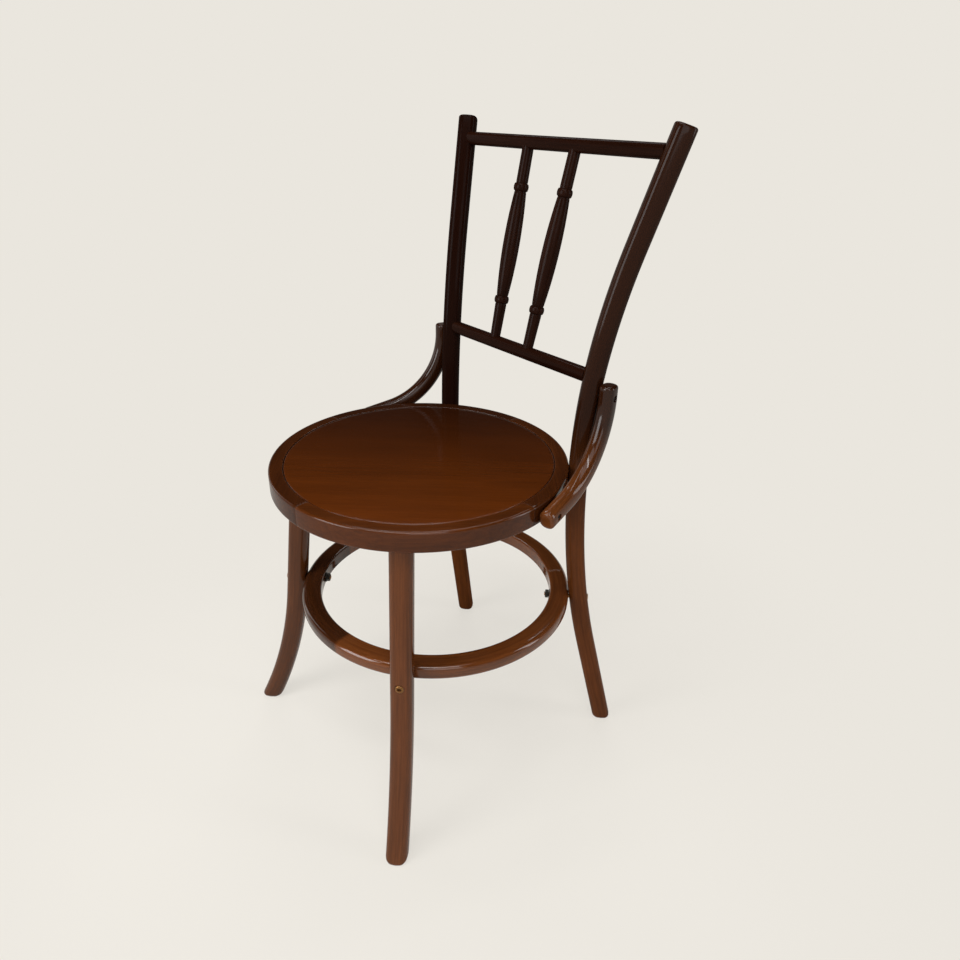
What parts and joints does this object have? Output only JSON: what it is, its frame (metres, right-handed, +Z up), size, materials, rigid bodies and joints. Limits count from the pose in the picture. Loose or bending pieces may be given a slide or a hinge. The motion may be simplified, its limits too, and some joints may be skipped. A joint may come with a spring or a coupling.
{
  "type": "bentwood dining chair",
  "caption": "Bentwood dining chair with a round inset-panel seat, splayed bent legs tied by a foot ring, a two-rail back with turned spindles, and bent hip braces.",
  "frame": {"origin": "on the floor, under the middle of the chair's bounding box", "axes": "+Z up, -Y towards the front edge of the seat, +X towards the sitter's left"},
  "size_m": [0.4216, 0.427, 0.8513],
  "materials": {
    "seat_panel": "stained veneer under gloss lacquer",
    "seat_ring": "stained beech under gloss lacquer",
    "legs": "stained beech under semi-gloss lacquer",
    "foot_ring": "stained beech under gloss lacquer",
    "back": "dark stained beech under semi-gloss lacquer",
    "braces": "stained beech under gloss lacquer",
    "raw_beech": "unfinished beech",
    "bronzed_steel": "antique bronze plating",
    "zinc_steel": "dull zinc plating",
    "black_steel": "blackened"
  },
  "bodies": {
    "root": {"seat_panel": "seat_panel", "seat_ring_front_left": "seat_ring", "seat_ring_front_right": "seat_ring", "seat_ring_rear_left": "seat_ring", "seat_ring_rear_right": "seat_ring", "seat_ring_dowels": "raw_beech", "front_leg_left": "legs", "front_leg_right": "legs", "rear_post_left": "legs", "rear_post_right": "legs", "foot_ring": "foot_ring", "top_rail": "back", "lower_rail": "back", "spindle_left": "back", "spindle_right": "back", "hip_brace_left": "braces", "hip_brace_right": "braces", "foot_ring_bolts": "bronzed_steel", "post_bolts": "bronzed_steel", "foot_ring_washers": "zinc_steel", "foot_ring_nuts": "zinc_steel", "post_washers": "zinc_steel", "post_nuts": "zinc_steel", "brace_front_screws": "black_steel", "brace_upper_screws": "black_steel", "leg_tenon_screws": "black_steel"}
  },
  "joints": []
}
